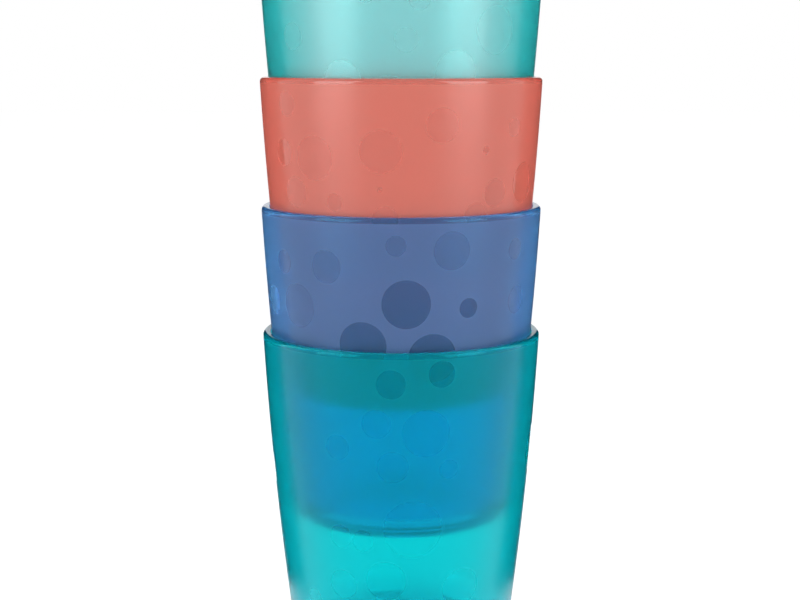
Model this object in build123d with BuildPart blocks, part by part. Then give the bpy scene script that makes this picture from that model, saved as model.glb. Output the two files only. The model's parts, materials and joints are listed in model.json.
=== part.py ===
from build123d import *

import os
from math import cos, radians, sin, sqrt

# A tower of identical plastic tumblers, each one nested in the mouth of the one below.
# Millimetres, +Z up, with the origin in the middle of the ring that the lowest cup stands on.

# Driving dimensions of one cup
rim_radius = 38.0  # outside of the mouth, at the very top
cup_height = 86.0  # standing ring to top of the rim
rim_draft = 3.0  # degrees that the side leans at the rim
side_bow_radius = 1090.0  # the side bows gently outwards over its height
wall = 2.2  # side wall, square to its surface
floor_thickness = 2.6
base_round = 6.0  # outside corner between side and base
floor_round = 4.5  # inside corner between side and floor
rim_outer_round = 1.1
rim_inner_round = 0.5
foot_width = 3.0  # flat ring that the cup stands on
foot_height = 1.2  # hollow inside the ring, under the floor
foot_round = 0.5  # inner edges of the ring
gate_dimple_radius = 3.0  # recess round the moulding gate, in the middle of the underside
gate_dimple_depth = 0.7
gate_stub_radius = 0.9
gate_stub_height = 0.4

# Driving dimensions of the tower
cup_names = ["teal_cup", "blue_cup", "coral_cup", "aqua_cup"]  # from the bottom up
seat_clearance = 0.16  # between an upper cup's side and the mouth that it sits in

# The side is an arc of revolution. It leans by the draft at the rim, so its centre lies above the rim.
bow_centre_radius = rim_radius - side_bow_radius * cos(radians(rim_draft))
bow_centre_height = cup_height + side_bow_radius * sin(radians(rim_draft))
floor_top = foot_height + floor_thickness


def side_radius(height, inset=0.0):
    """Radius of the side's outer surface at a height, or of the surface that lies inset inside it."""
    rise = height - bow_centre_height
    return bow_centre_radius + sqrt((side_bow_radius - inset) ** 2 - rise**2)


def side_arc(low, high, inset=0.0):
    """The side's outline between two heights, drawn upwards."""
    middle = (low + high) / 2
    return ThreePointArc(*[(side_radius(height, inset), height) for height in (low, middle, high)])


# The ring that the cup stands on begins where the base's rounding ends
ring_outer_radius = side_radius(base_round, base_round)
ring_inner_radius = ring_outer_radius - foot_width

# An upper cup sinks in until its side meets the mouth just under the rounding of the rim's inner edge.
# The side that meets it is as far below the rim as the two cups' rims are apart, apart from that rounding.
seat_height = cup_height - rim_inner_round
seat_radius = side_radius(seat_height, wall) - seat_clearance
seated_side_height = bow_centre_height - sqrt(side_bow_radius**2 - (seat_radius - bow_centre_radius) ** 2)
nest_pitch = seat_height - seated_side_height

os.makedirs("parts", exist_ok=True)

for tier, cup_name in enumerate(cup_names):
    with BuildPart() as cup:
        # Half of the cup's section, from the middle of the underside round to the middle of the floor
        with BuildSketch(Plane((0, 0, tier * nest_pitch), x_dir=(1, 0, 0), z_dir=(0, -1, 0))) as section:
            with BuildLine():
                underside = Polyline(
                    (0, foot_height + gate_dimple_depth - gate_stub_height),
                    (gate_stub_radius, foot_height + gate_dimple_depth - gate_stub_height),
                    (gate_stub_radius, foot_height + gate_dimple_depth),
                    (gate_dimple_radius - gate_dimple_depth, foot_height + gate_dimple_depth),
                    (gate_dimple_radius, foot_height),
                    (ring_inner_radius - foot_height, foot_height),
                    (ring_inner_radius, 0),
                    (side_radius(0), 0),
                )
                outside = side_arc(0, cup_height)
                inside = side_arc(floor_top, cup_height, wall)
                rim = Line(outside @ 1, inside @ 1)
                floor = Line(inside @ 0, (0, floor_top))
                Line(floor @ 1, underside @ 0)
            make_face()
            corners = {
                base_round: [outside @ 0],
                floor_round: [inside @ 0],
                rim_outer_round: [outside @ 1],
                rim_inner_round: [inside @ 1],
                foot_round: [(ring_inner_radius - foot_height, foot_height), (ring_inner_radius, 0)],
            }
            for radius, points in corners.items():
                for point in points:
                    fillet(section.vertices().sort_by_distance(point)[0], radius)
        revolve(axis=Axis.Z)
    cup.part.label = cup_name
    export_step(cup.part, f"parts/{cup_name}.step")

print(f"nest pitch {nest_pitch:.3f} mm, tower {cup_height + nest_pitch * (len(cup_names) - 1):.2f} mm tall")
print(f"ring that it stands on {ring_inner_radius:.2f} to {ring_outer_radius:.2f} mm")
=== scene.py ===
import json
import math
import random

import bmesh
import bpy
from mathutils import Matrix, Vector
from mathutils.geometry import delaunay_2d_cdt

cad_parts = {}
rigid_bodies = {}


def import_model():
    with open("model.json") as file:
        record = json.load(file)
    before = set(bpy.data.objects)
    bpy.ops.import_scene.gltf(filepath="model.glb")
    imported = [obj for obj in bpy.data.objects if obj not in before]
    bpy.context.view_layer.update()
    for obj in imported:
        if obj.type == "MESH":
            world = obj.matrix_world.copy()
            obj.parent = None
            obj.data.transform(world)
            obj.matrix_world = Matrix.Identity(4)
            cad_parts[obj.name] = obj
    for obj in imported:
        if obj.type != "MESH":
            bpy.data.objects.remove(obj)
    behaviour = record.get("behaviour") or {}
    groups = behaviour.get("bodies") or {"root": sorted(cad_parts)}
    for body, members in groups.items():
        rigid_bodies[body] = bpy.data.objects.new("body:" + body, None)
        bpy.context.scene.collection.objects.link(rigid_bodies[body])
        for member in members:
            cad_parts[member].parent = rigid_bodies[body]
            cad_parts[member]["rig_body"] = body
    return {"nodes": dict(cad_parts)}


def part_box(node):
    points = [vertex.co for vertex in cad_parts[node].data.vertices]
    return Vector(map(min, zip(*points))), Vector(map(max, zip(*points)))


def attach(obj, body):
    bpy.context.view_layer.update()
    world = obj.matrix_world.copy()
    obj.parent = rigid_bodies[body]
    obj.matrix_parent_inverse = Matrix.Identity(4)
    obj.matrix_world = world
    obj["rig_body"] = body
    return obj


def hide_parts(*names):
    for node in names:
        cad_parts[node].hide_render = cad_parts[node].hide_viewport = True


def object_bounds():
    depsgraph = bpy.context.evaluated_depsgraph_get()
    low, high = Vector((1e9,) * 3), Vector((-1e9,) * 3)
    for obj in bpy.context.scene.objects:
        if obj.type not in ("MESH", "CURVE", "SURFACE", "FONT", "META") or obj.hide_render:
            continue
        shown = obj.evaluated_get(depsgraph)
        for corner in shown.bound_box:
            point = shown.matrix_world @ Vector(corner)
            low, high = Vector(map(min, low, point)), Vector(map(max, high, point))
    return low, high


# A tower of four nested see-through tumblers. Metres, +Z up. Each cup is rebuilt here as one closed mesh on the
# CAD cup's outline, so that its frosted side can hold polished round spots with crisp edges.

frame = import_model()
cad_low, cad_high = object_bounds()

# One cup's outline, as in the CAD source
MM = 0.001
CUP_HEIGHT = 86 * MM
RIM_RADIUS = 38 * MM
RIM_DRAFT = math.radians(3)
SIDE_BOW_RADIUS = 1090 * MM
WALL = 2.2 * MM
FLOOR_THICKNESS = 2.6 * MM
BASE_ROUND = 6 * MM
FLOOR_ROUND = 4.5 * MM
RIM_OUTER_ROUND = 1.1 * MM
RIM_INNER_ROUND = 0.5 * MM
FOOT_WIDTH = 3 * MM
FOOT_HEIGHT = 1.2 * MM
FOOT_ROUND = 0.5 * MM
GATE_DIMPLE_RADIUS = 3 * MM
GATE_DIMPLE_DEPTH = 0.7 * MM
GATE_STUB_RADIUS = 0.9 * MM
GATE_STUB_HEIGHT = 0.4 * MM
BOW_CENTRE_RADIUS = RIM_RADIUS - SIDE_BOW_RADIUS * math.cos(RIM_DRAFT)
BOW_CENTRE_HEIGHT = CUP_HEIGHT + SIDE_BOW_RADIUS * math.sin(RIM_DRAFT)
FLOOR_TOP = FOOT_HEIGHT + FLOOR_THICKNESS

# The finish of the side: frosted, with polished spots that lie a little below the frost
FROST_LOW = 6.5 * MM
FROST_TOP = CUP_HEIGHT - 1.5 * MM
FROST_EDGE = 0.15 * MM
SPOT_DEPTH = 0.03 * MM
SPOT_BEVEL = 0.12 * MM
SPOT_GAP = 0.9 * MM  # least gap between spots that are scattered at random
SEGMENTS = 180  # round the cup
ROW_HEIGHT = 3 * MM
CORNER_STEPS = 8


# ---------------------------------------------------------------- outline


def side_radius(height, inset=0.0):
    """Radius of the side's outer surface at a height, or of the surface that lies inset inside it."""
    return BOW_CENTRE_RADIUS + math.sqrt((SIDE_BOW_RADIUS - inset) ** 2 - (height - BOW_CENTRE_HEIGHT) ** 2)


def side_lean(radius, height):
    """Direction of the side's outward normal at a place in the section, as an angle above level."""
    return math.atan2(height - BOW_CENTRE_HEIGHT, radius - BOW_CENTRE_RADIUS)


def arc(centre, radius, start, end):
    """Points of a corner's arc in the section, (radius from the axis, height)."""
    turns = [start + (end - start) * i / CORNER_STEPS for i in range(CORNER_STEPS + 1)]
    return [(centre[0] + radius * math.cos(t), centre[1] + radius * math.sin(t)) for t in turns]


def rounded(before, corner, after, radius):
    """Points of an arc that rounds the corner between two straight runs."""
    to_before = (Vector(before) - Vector(corner)).normalized()
    to_after = (Vector(after) - Vector(corner)).normalized()
    half = to_before.angle(to_after) / 2
    centre = Vector(corner) + (to_before + to_after).normalized() * radius / math.sin(half)
    start = Vector(corner) + to_before * radius / math.tan(half) - centre
    end = Vector(corner) + to_after * radius / math.tan(half) - centre
    first = math.atan2(start.y, start.x)
    turn = (math.atan2(end.y, end.x) - first + math.pi) % (2 * math.pi) - math.pi
    return arc(centre, radius, first, first + turn)


def rows(low, high):
    """Heights from low to high in even steps of about the row height, both ends included."""
    count = max(1, round(abs(high - low) / ROW_HEIGHT))
    return [low + (high - low) * i / count for i in range(count + 1)]


def underside_outline():
    """From the middle of the underside out to the lower edge of the frost, as (radius, height, polish)."""
    dimple_floor = FOOT_HEIGHT + GATE_DIMPLE_DEPTH
    ring_inner = side_radius(BASE_ROUND, BASE_ROUND) - FOOT_WIDTH
    points = [
        (0.0, dimple_floor - GATE_STUB_HEIGHT),
        (GATE_STUB_RADIUS * 0.85, dimple_floor - GATE_STUB_HEIGHT),
        (GATE_STUB_RADIUS, dimple_floor - GATE_STUB_HEIGHT * 0.8),
        (GATE_STUB_RADIUS, dimple_floor),
        (GATE_DIMPLE_RADIUS - GATE_DIMPLE_DEPTH, dimple_floor),
        (GATE_DIMPLE_RADIUS, FOOT_HEIGHT),
    ]
    run_in = (GATE_DIMPLE_RADIUS, FOOT_HEIGHT)
    ring_top = (ring_inner - FOOT_HEIGHT, FOOT_HEIGHT)
    ring_bottom = (ring_inner, 0.0)
    ring_out = (ring_inner + FOOT_WIDTH, 0.0)
    points += rounded(run_in, ring_top, ring_bottom, FOOT_ROUND)
    points += rounded(ring_top, ring_bottom, ring_out, FOOT_ROUND)
    centre = (side_radius(BASE_ROUND, BASE_ROUND), BASE_ROUND)
    points += arc(centre, BASE_ROUND, -math.pi / 2, side_lean(*centre))
    low = FROST_LOW - FROST_EDGE
    points.append((side_radius(low), low))
    return [(radius, height, 1.0) for radius, height in points] + [(side_radius(FROST_LOW), FROST_LOW, 0.0)]


def inside_outline():
    """From the upper edge of the frost over the rim and down to the middle of the floor."""
    edge = FROST_TOP + FROST_EDGE
    points = [(side_radius(edge), edge)]
    height = CUP_HEIGHT - RIM_OUTER_ROUND
    centre = (side_radius(height, RIM_OUTER_ROUND), height)
    points += arc(centre, RIM_OUTER_ROUND, side_lean(*centre), math.pi / 2)
    height = CUP_HEIGHT - RIM_INNER_ROUND
    centre = (side_radius(height, WALL - RIM_INNER_ROUND), height)
    points += arc(centre, RIM_INNER_ROUND, math.pi / 2, math.pi + side_lean(*centre))
    height = FLOOR_TOP + FLOOR_ROUND
    centre = (side_radius(height, WALL + FLOOR_ROUND), height)
    corner = arc(centre, FLOOR_ROUND, side_lean(*centre), -math.pi / 2)
    between = rows(points[-1][1], corner[0][1])[1:-1]
    points += [(side_radius(z, WALL), z) for z in between] + corner
    points += [(corner[-1][0] * share, FLOOR_TOP) for share in (0.75, 0.5, 0.25, 0.0)]
    return [(side_radius(FROST_TOP), FROST_TOP, 0.0)] + [(radius, z, 1.0) for radius, z in points]


# ---------------------------------------------------------------- spots

# Each cup's spots in front, read from the photo:
# degrees round from the front towards +X, mm above the base, radius in mm, and how polished
FRONT_SPOTS = {
    "teal_cup": [
        (-4, 78, 3.8, 1), (16, 80.5, 3.5, 1), (10, 65, 6.3, 0.35), (-10, 67.5, 3.9, 0.3), (-3.5, 56, 4.2, 0.3),
        (20, 55, 2.6, 0.3), (-27, 60.5, 3.4, 0.25), (5, 39, 7.8, 0.25), (-17, 35.5, 3, 0.4), (-27.5, 36, 3.2, 0.4),
        (-7, 24.5, 5.4, 0.8), (-27.5, 22.5, 4, 0.8), (28.5, 21.5, 5.4, 0.8), (-46, 16.5, 2.6, 0.6),
        (82, 54, 6.3, 1), (-84, 48, 4.6, 1),
    ],
    "blue_cup": [
        (2, 64, 6.3, 1), (-16, 53, 6.3, 1), (13, 50, 6.3, 1), (28, 62.5, 2.6, 1), (20, 77.5, 5, 0.3),
        (-2, 79, 2.7, 0.3), (-31, 73, 4.4, 0.3), (52, 76.5, 2.9, 0.6), (-55, 73, 3.2, 0.5), (-47, 62, 5.9, 0.25),
        (55, 63, 3.8, 0.3), (-67, 62, 4, 0.8),
    ],
    "coral_cup": [
        (-8, 68, 5.5, 0.35), (-37, 66, 5.8, 0.3), (41.5, 57, 3.7, 1), (35.5, 68, 1.1, 0.8), (51, 73.5, 2.5, 0.7),
        (61, 59, 5.3, 1), (-51, 79.5, 3.3, 0.7), (-55, 67, 3.6, 1), (-48.5, 57, 4, 0.5), (-8.5, 58.5, 0.7, 0.6),
        (-28, 55, 2.3, 0.4), (32, 51.5, 3.4, 0.4), (-6.5, 51, 3.4, 0.5), (16, 74.5, 4.4, 0.25),
    ],
    "aqua_cup": [
        (-5, 48, 4.4, 0.5), (22.5, 53, 5.6, 0.4), (-24.5, 51, 5.2, 0.4), (40.5, 63.5, 6.2, 0.3),
        (-13.5, 72.5, 2.6, 0.4), (7, 71, 2.9, 0.4), (-49, 62, 3.6, 0.3), (2, 61, 3.1, 0.3),
    ],
}
FRONT_ANGLE = math.radians(92)  # no spot is scattered at random nearer to the front than this
SPOT_RADII = [6.3, 5.5, 4.6, 3.7, 2.7, 1.8, 1.1]
SPOT_POLISHES = [1, 0.6, 0.3]
SCATTER_TRIES = 160  # for each radius


def spot_distance(spot, angle, height):
    """How far a place on the side is from a spot's edge: negative inside it."""
    spot_angle, spot_height, radius, _ = spot
    return math.hypot((angle - spot_angle) * side_radius(spot_height), height - spot_height) - radius


def spots_of(cup_name, seed):
    """The cup's spots, in radians and metres: those in front, and others round the back."""
    spots = [(math.radians(angle), z * MM, r * MM, polish) for angle, z, r, polish in FRONT_SPOTS[cup_name]]
    chance = random.Random(seed)
    for radius in SPOT_RADII:
        reach = radius * MM + SPOT_GAP
        edge = math.pi - reach / side_radius(FROST_LOW)
        for _ in range(SCATTER_TRIES):
            angle = chance.uniform(-edge, edge)
            height = chance.uniform(FROST_LOW + reach, FROST_TOP - reach)
            clear = all(spot_distance(spot, angle, height) > reach for spot in spots)
            if abs(angle) > FRONT_ANGLE and clear:
                spots.append((angle, height, radius * MM, chance.choice(SPOT_POLISHES)))
    return spots


def spot_loop(spot, grow):
    """Places round a spot, a little outside or inside its edge."""
    spot_angle, spot_height, radius, _ = spot
    count = max(24, round(15 * radius / MM))
    turns = [2 * math.pi * i / count for i in range(count)]
    reach = radius + grow
    return [
        (spot_angle + reach * math.cos(t) / side_radius(spot_height), spot_height + reach * math.sin(t))
        for t in turns
    ]


def frosted_side(spots):
    """The side's outer surface between the frost's edges.

    Gives its vertices as (angle, height, depth, polish), and its faces.
    """
    flat_scale = side_radius((FROST_LOW + FROST_TOP) / 2)
    grows = [SPOT_BEVEL, 0.0, -SPOT_BEVEL, -2 * SPOT_BEVEL]
    places, edges = [], []
    for column in range(SEGMENTS + 1):
        angle = -math.pi + 2 * math.pi * column / SEGMENTS
        for height in rows(FROST_LOW, FROST_TOP):
            nearest = min(abs(spot_distance(spot, angle, height)) for spot in spots)
            if nearest > 4 * SPOT_BEVEL or height in (FROST_LOW, FROST_TOP):
                places.append((angle, height))
    for spot in spots:
        for grow in grows:
            loop = spot_loop(spot, grow)
            first = len(places)
            places += loop
            edges += [(first + i, first + (i + 1) % len(loop)) for i in range(len(loop))]
    flat = [Vector((angle * flat_scale, height)) for angle, height in places]
    flat, _, faces, *_ = delaunay_2d_cdt(flat, edges, [], 0, 1e-7)
    vertices = []
    for point in flat:
        angle, height = point.x / flat_scale, point.y
        distance, polish = min((spot_distance(spot, angle, height), spot[3]) for spot in spots)
        polish *= min(1.0, max(0.0, -distance / SPOT_BEVEL))
        vertices.append((angle, height, polish * SPOT_DEPTH, polish))
    return vertices, faces


# ---------------------------------------------------------------- cup mesh


def on_cup(angle, radius, height):
    """A place on a cup, with the front at -Y."""
    return Vector((radius * math.sin(angle), -radius * math.cos(angle), height))


def spin(mesh, polish_layer, outline, standing):
    """Adds the surface that an outline makes when it turns round the axis."""
    rings = []
    for radius, height, polish in outline:
        count = SEGMENTS if radius > 0 else 1
        ring = []
        for i in range(count):
            vertex = mesh.verts.new(on_cup(-math.pi + 2 * math.pi * i / SEGMENTS, radius, standing + height))
            vertex[polish_layer] = polish
            ring.append(vertex)
        rings.append(ring)
    for lower, upper in zip(rings, rings[1:]):
        for i in range(SEGMENTS):
            j = (i + 1) % SEGMENTS
            corners = [lower[i % len(lower)], lower[j % len(lower)], upper[j % len(upper)], upper[i % len(upper)]]
            mesh.faces.new(list(dict.fromkeys(corners)))


def make_cup(cup_name, seed):
    """One cup as a closed mesh, standing where its CAD node stands."""
    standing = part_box(cup_name)[0].z
    mesh = bmesh.new()
    polish_layer = mesh.verts.layers.float.new("polish")
    vertices, faces = frosted_side(spots_of(cup_name, seed))
    made = []
    for angle, height, depth, polish in vertices:
        made.append(mesh.verts.new(on_cup(angle, side_radius(height) - depth, standing + height)))
        made[-1][polish_layer] = polish
    for face in faces:
        mesh.faces.new([made[i] for i in face])
    spin(mesh, polish_layer, underside_outline(), standing)
    spin(mesh, polish_layer, inside_outline(), standing)
    bmesh.ops.remove_doubles(mesh, verts=mesh.verts, dist=2e-6)
    bmesh.ops.recalc_face_normals(mesh, faces=mesh.faces)
    for face in mesh.faces:
        face.smooth = True
    open_edges = sum(1 for edge in mesh.edges if not edge.is_manifold)
    print(f"{cup_name}: {len(mesh.faces)} faces, {open_edges} open edges")
    data = bpy.data.meshes.new(cup_name + "_shell")
    mesh.to_mesh(data)
    mesh.free()
    cup = bpy.data.objects.new(cup_name + "_shell", data)
    bpy.context.scene.collection.objects.link(cup)
    return cup


# ---------------------------------------------------------------- plastics

IOR = 1.53
FROST_ROUGHNESS = (0.27, 0.35)
FROST_CLOUDS = 60  # noise cells per metre, here and below
POLISH_ROUGHNESS = (0.03, 0.13)  # fresh, and dulled by handling
HANDLING_CLOUDS = 45
GRAIN_CLOUDS = 2200
GRAIN_DEPTH = 0.03 * MM
EDGE_START, EDGE_END = 0.15, 0.55  # Facing at which the haze begins to change, and at which it has changed


def mixed(tree, factor, first, second):
    """A number that goes from first to second with a factor; either may be a socket."""
    mix = tree.nodes.new("ShaderNodeMix")
    tree.links.new(factor, mix.inputs["Factor"])
    for socket, value in ((mix.inputs["A"], first), (mix.inputs["B"], second)):
        if isinstance(value, bpy.types.NodeSocket):
            tree.links.new(value, socket)
        else:
            socket.default_value = value
    return mix.outputs[0]


def noise(tree, scale, detail):
    """Noise in the object's own space, from 0 to 1."""
    place = tree.nodes.new("ShaderNodeTexCoord")
    cloud = tree.nodes.new("ShaderNodeTexNoise")
    cloud.inputs["Scale"].default_value = scale
    cloud.inputs["Detail"].default_value = detail
    tree.links.new(place.outputs["Object"], cloud.inputs["Vector"])
    return cloud.outputs["Fac"]


def plastic(name, milk, clear, wall_tint, gloss_tint):
    """See-through plastic, frosted where the mesh says so.

    milk is the colour of its haze; clear is how much passes through it where it is frosted and seen face on, where
    it is frosted and seen along its surface, and where it is polished; wall_tint is what one wall lets through.
    """
    material = bpy.data.materials.new(name)
    material.use_nodes = True
    tree = material.node_tree
    nodes, links = tree.nodes, tree.links
    nodes.clear()
    out = nodes.new("ShaderNodeOutputMaterial")
    shader = nodes.new("ShaderNodeBsdfPrincipled")
    shader.inputs["IOR"].default_value = IOR
    shader.inputs["Base Color"].default_value = (*milk, 1)
    shader.inputs["Specular Tint"].default_value = (*gloss_tint, 1)
    absorption = [-math.log(share) / WALL for share in wall_tint]
    density = max(absorption)
    depth = nodes.new("ShaderNodeVolumeAbsorption")
    depth.inputs["Color"].default_value = (*[1 - a / density for a in absorption], 1)
    depth.inputs["Density"].default_value = density
    links.new(shader.outputs[0], out.inputs["Surface"])
    links.new(depth.outputs[0], out.inputs["Volume"])

    polish = nodes.new("ShaderNodeAttribute")
    polish.attribute_name = "polish"
    frosted = mixed(tree, noise(tree, FROST_CLOUDS, 3), *FROST_ROUGHNESS)
    handled = mixed(tree, noise(tree, HANDLING_CLOUDS, 4), *POLISH_ROUGHNESS)
    links.new(mixed(tree, polish.outputs["Fac"], frosted, handled), shader.inputs["Roughness"])

    view = nodes.new("ShaderNodeLayerWeight")
    along = nodes.new("ShaderNodeMapRange")
    along.interpolation_type = "SMOOTHSTEP"
    along.inputs["From Min"].default_value = EDGE_START
    along.inputs["From Max"].default_value = EDGE_END
    links.new(view.outputs["Facing"], along.inputs["Value"])
    hazy = mixed(tree, polish.outputs["Fac"], clear[0], clear[2])
    links.new(mixed(tree, along.outputs[0], hazy, clear[1]), shader.inputs["Transmission Weight"])

    unpolished = nodes.new("ShaderNodeMath")
    unpolished.operation = "SUBTRACT"
    unpolished.inputs[0].default_value = 1.0
    links.new(polish.outputs["Fac"], unpolished.inputs[1])
    bump = nodes.new("ShaderNodeBump")
    bump.inputs["Distance"].default_value = GRAIN_DEPTH
    links.new(unpolished.outputs[0], bump.inputs["Strength"])
    links.new(noise(tree, GRAIN_CLOUDS, 2), bump.inputs["Height"])
    links.new(bump.outputs[0], shader.inputs["Normal"])
    return material


PLASTICS = {
    # colour of its haze, how clear it is, what one wall lets through, and the tint of its gloss
    "teal_cup": ((0.02, 0.82, 0.82), (0.88, 0.96, 0.93), (0.12, 0.93, 0.97), (0.02, 0.8, 0.9)),
    "blue_cup": ((0.36, 0.52, 0.99), (0.85, 0.93, 0.96), (0.75, 0.98, 0.99), (0.15, 0.6, 0.9)),
    "coral_cup": ((0.99, 0.28, 0.21), (0.60, 0.57, 0.66), (0.99, 0.87, 0.87), (0.9, 0.8, 0.8)),
    "aqua_cup": ((0.84, 0.80, 0.81), (0.83, 0.98, 0.82), (0.20, 0.98, 0.98), (0.95, 0.95, 0.95)),
}


# ---------------------------------------------------------------- studio

WORLD_STRENGTH = 0.3  # what lights the object; seen directly the world is white
FLOOR_SIZE = 8
FLOOR_PAPER = 0.9  # what lights the object
FLOOR_GLOW = 0.875  # seen directly: the glow and the lit share make white, and less in a shadow
FLOOR_LIT_SHARE = 0.42
BOX_AZIMUTH = 54  # degrees round from the front
BOX_DISTANCE = 0.75
BOX_HEIGHT = 0.36
BOX_SIZE = (0.5, 0.7)
BOX_POWER = 4.5
FLAG_FROM, FLAG_TO = 80, 125  # degrees round from the front
FLAG_RADIUS = 0.055
FLAG_HEIGHT = 0.4
FLAG_STEPS = 16
CAMERA_LENS = 69.1
CAMERA_TILT = 9.02  # degrees below level
CAMERA_DISTANCE = 0.4178
CAMERA_SHIFT = -0.0003
CAMERA_RISE = 0.0054  # above the third cup's rim


def through_light_path(tree, plain, seen):
    """A mix of two shaders: seen for camera, glossy and transmission rays, and plain for all others."""
    nodes, links = tree.nodes, tree.links
    path = nodes.new("ShaderNodeLightPath")
    total = path.outputs["Is Camera Ray"]
    for ray in ("Is Glossy Ray", "Is Transmission Ray"):
        either = nodes.new("ShaderNodeMath")
        either.operation = "MAXIMUM"
        links.new(total, either.inputs[0])
        links.new(path.outputs[ray], either.inputs[1])
        total = either.outputs[0]
    mix = nodes.new("ShaderNodeMixShader")
    links.new(total, mix.inputs[0])
    links.new(plain, mix.inputs[1])
    links.new(seen, mix.inputs[2])
    return mix.outputs[0]


def make_world():
    world = bpy.data.worlds.new("studio")
    bpy.context.scene.world = world
    world.use_nodes = True
    tree = world.node_tree
    tree.nodes.clear()
    soft = tree.nodes.new("ShaderNodeBackground")
    soft.inputs["Color"].default_value = (1, 1, 1, 1)
    soft.inputs["Strength"].default_value = WORLD_STRENGTH
    white = tree.nodes.new("ShaderNodeBackground")
    white.inputs["Color"].default_value = (1, 1, 1, 1)
    out = tree.nodes.new("ShaderNodeOutputWorld")
    tree.links.new(through_light_path(tree, soft.outputs[0], white.outputs[0]), out.inputs["Surface"])


def make_floor():
    bpy.ops.mesh.primitive_plane_add(size=FLOOR_SIZE, location=(0, 0, cad_low.z))
    floor = bpy.context.object
    floor.name = "floor"
    material = bpy.data.materials.new("floor_paper")
    material.use_nodes = True
    tree = material.node_tree
    tree.nodes.clear()
    paper = tree.nodes.new("ShaderNodeBsdfDiffuse")
    paper.inputs["Color"].default_value = (*[FLOOR_PAPER] * 3, 1)
    glow = tree.nodes.new("ShaderNodeEmission")
    glow.inputs["Strength"].default_value = FLOOR_GLOW
    shade = tree.nodes.new("ShaderNodeBsdfDiffuse")
    shade.inputs["Color"].default_value = (*[FLOOR_LIT_SHARE] * 3, 1)
    seen = tree.nodes.new("ShaderNodeAddShader")
    tree.links.new(glow.outputs[0], seen.inputs[0])
    tree.links.new(shade.outputs[0], seen.inputs[1])
    out = tree.nodes.new("ShaderNodeOutputMaterial")
    tree.links.new(through_light_path(tree, paper.outputs[0], seen.outputs[0]), out.inputs["Surface"])
    floor.data.materials.append(material)


def make_softbox(name, azimuth, target):
    """A tall soft light that stands on the floor, azimuth degrees round from the front, and faces the object."""
    light = bpy.data.lights.new(name, "AREA")
    light.shape = "RECTANGLE"
    light.size, light.size_y = BOX_SIZE
    light.energy = BOX_POWER
    box = bpy.data.objects.new(name, light)
    turn = math.radians(azimuth)
    box.location = (BOX_DISTANCE * math.sin(turn), -BOX_DISTANCE * math.cos(turn), BOX_HEIGHT)
    box.rotation_euler = (target - box.location).to_track_quat("-Z", "Y").to_euler()
    bpy.context.scene.collection.objects.link(box)


def make_flag(name, side):
    """A curved black card beside and behind the object, on side -1 or 1.

    It is seen in reflections only, and keeps the cups' edges deep.
    """
    card = bmesh.new()
    pairs = []
    for step in range(FLAG_STEPS + 1):
        turn = side * math.radians(FLAG_FROM + (FLAG_TO - FLAG_FROM) * step / FLAG_STEPS)
        place = Vector((FLAG_RADIUS * math.sin(turn), -FLAG_RADIUS * math.cos(turn), cad_low.z))
        pairs.append([card.verts.new(place), card.verts.new(place + Vector((0, 0, FLAG_HEIGHT)))])
    for (low, high), (next_low, next_high) in zip(pairs, pairs[1:]):
        card.faces.new([low, next_low, next_high, high])
    data = bpy.data.meshes.new(name)
    card.to_mesh(data)
    card.free()
    material = bpy.data.materials.new(name + "_card")
    material.use_nodes = True
    shader = material.node_tree.nodes["Principled BSDF"]
    shader.inputs["Base Color"].default_value = (0, 0, 0, 1)
    shader.inputs["Specular IOR Level"].default_value = 0
    data.materials.append(material)
    flag = bpy.data.objects.new(name, data)
    flag.visible_camera = flag.visible_diffuse = flag.visible_transmission = flag.visible_shadow = False
    bpy.context.scene.collection.objects.link(flag)


def make_camera():
    """The camera stands in front of the third cup's rim and looks down a little."""
    data = bpy.data.cameras.new("camera")
    data.lens = CAMERA_LENS
    data.sensor_width = 36
    data.clip_start = 0.01
    camera = bpy.data.objects.new("camera", data)
    camera.location = (CAMERA_SHIFT, -CAMERA_DISTANCE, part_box("coral_cup")[1].z + CAMERA_RISE)
    camera.rotation_euler = (math.radians(90 - CAMERA_TILT), 0, 0)
    bpy.context.scene.collection.objects.link(camera)
    bpy.context.scene.camera = camera


# ---------------------------------------------------------------- making

scene = bpy.context.scene
scene.view_settings.view_transform = "Standard"
scene.cycles.max_bounces = 40
scene.cycles.transmission_bounces = 40
scene.cycles.glossy_bounces = 12
scene.cycles.diffuse_bounces = 6
scene.cycles.use_denoising = True

make_camera()
make_world()
make_floor()
middle = (cad_low + cad_high) / 2
make_softbox("left_softbox", -BOX_AZIMUTH, middle)
make_softbox("right_softbox", BOX_AZIMUTH, middle)
make_flag("left_flag", -1)
make_flag("right_flag", 1)

for seed, (cup_name, look) in enumerate(PLASTICS.items()):
    cup = make_cup(cup_name, seed)
    cup.data.materials.append(plastic(cup_name.replace("_cup", "_plastic"), *look))
    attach(cup, frame["nodes"][cup_name]["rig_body"])
    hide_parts(cup_name)
